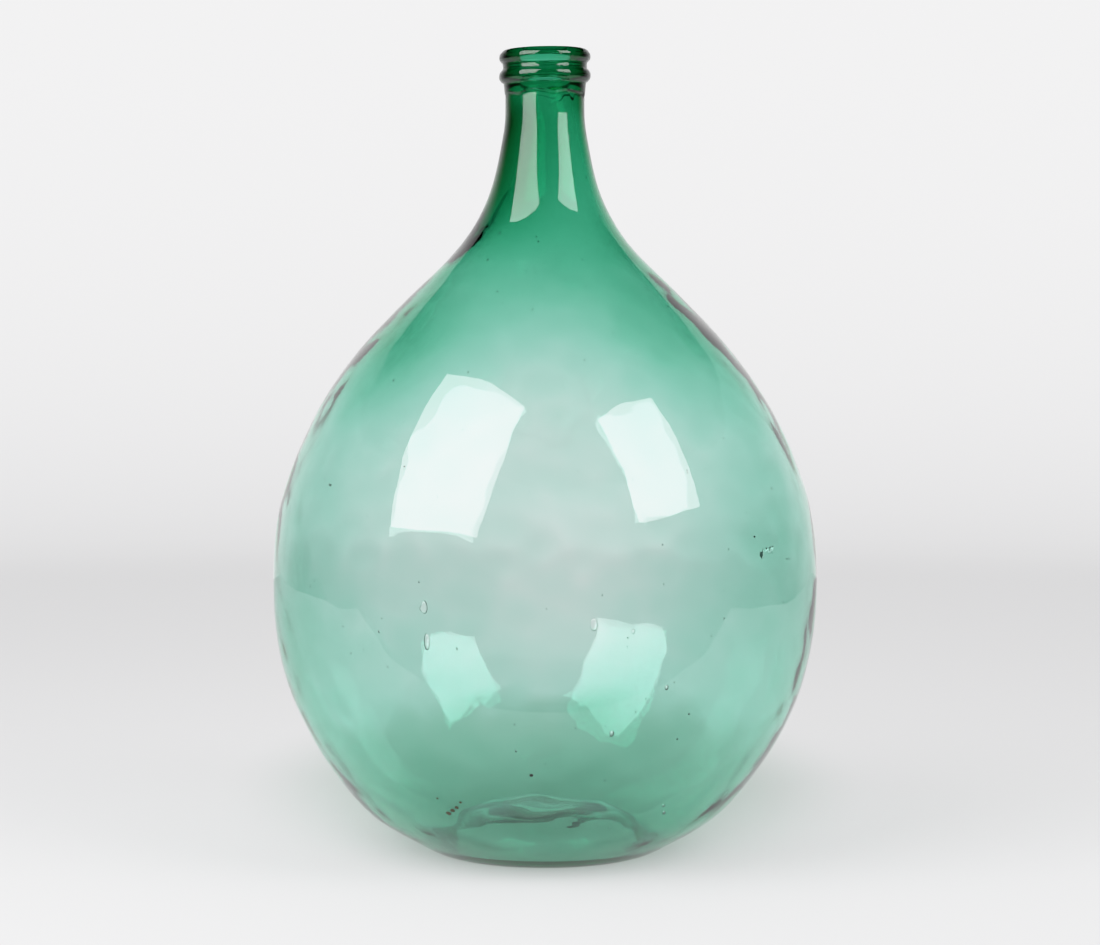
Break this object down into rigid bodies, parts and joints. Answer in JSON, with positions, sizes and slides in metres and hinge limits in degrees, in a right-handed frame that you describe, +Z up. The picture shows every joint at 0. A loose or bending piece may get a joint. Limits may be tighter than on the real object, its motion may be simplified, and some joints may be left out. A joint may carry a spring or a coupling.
{
  "type": "glass carboy",
  "caption": "Free-blown green glass carboy: onion-shaped body, pushed-up base and a ringed, open mouth that takes a bung.",
  "frame": {"origin": "centre of the standing ring, on the ground", "axes": "+Z up along the mouth's axis; the body is round, so +X and +Y are any two level directions"},
  "size_m": [0.45, 0.45, 0.664],
  "materials": {
    "green_glass": "fire-polished, transparent sea green, seedy"
  },
  "bodies": {
    "root": {"blown_body": "green_glass", "applied_finish": "green_glass", "pontil_scar": "green_glass"}
  },
  "joints": []
}
